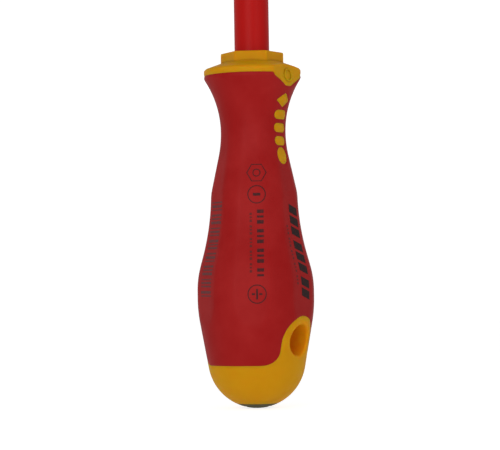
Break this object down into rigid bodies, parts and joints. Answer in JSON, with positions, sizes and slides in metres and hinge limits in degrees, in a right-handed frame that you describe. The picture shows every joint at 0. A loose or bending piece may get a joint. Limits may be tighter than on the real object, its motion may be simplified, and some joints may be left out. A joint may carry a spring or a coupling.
{
  "type": "insulated screwdriver",
  "caption": "Fixed-blade insulated screwdriver: cross-slot tip, sleeved shank, hexagonal collar, and a soft-skinned handle with flats and a hanging hole through its hard butt.",
  "frame": {"origin": "lowest point of the rounded butt, on the handle's axis", "axes": "+Z along the axis from the butt to the blade's tip, Y along the hanging hole, X across the handle through two opposite ridges"},
  "size_m": [0.0386, 0.0368, 0.2675],
  "materials": {
    "blade_steel": "dark oxide, satin",
    "sleeve_red": "satin moulded insulation",
    "core_grey": "moulded, hidden",
    "body_amber": "semi-gloss moulded",
    "grip_red": "fine matt, soft",
    "plug_grey": "moulded"
  },
  "bodies": {
    "root": {"blade": "blade_steel", "blade_sleeve": "sleeve_red", "handle_core": "core_grey", "hard_body": "body_amber", "soft_grip": "grip_red", "butt_plug": "plug_grey"}
  },
  "joints": []
}
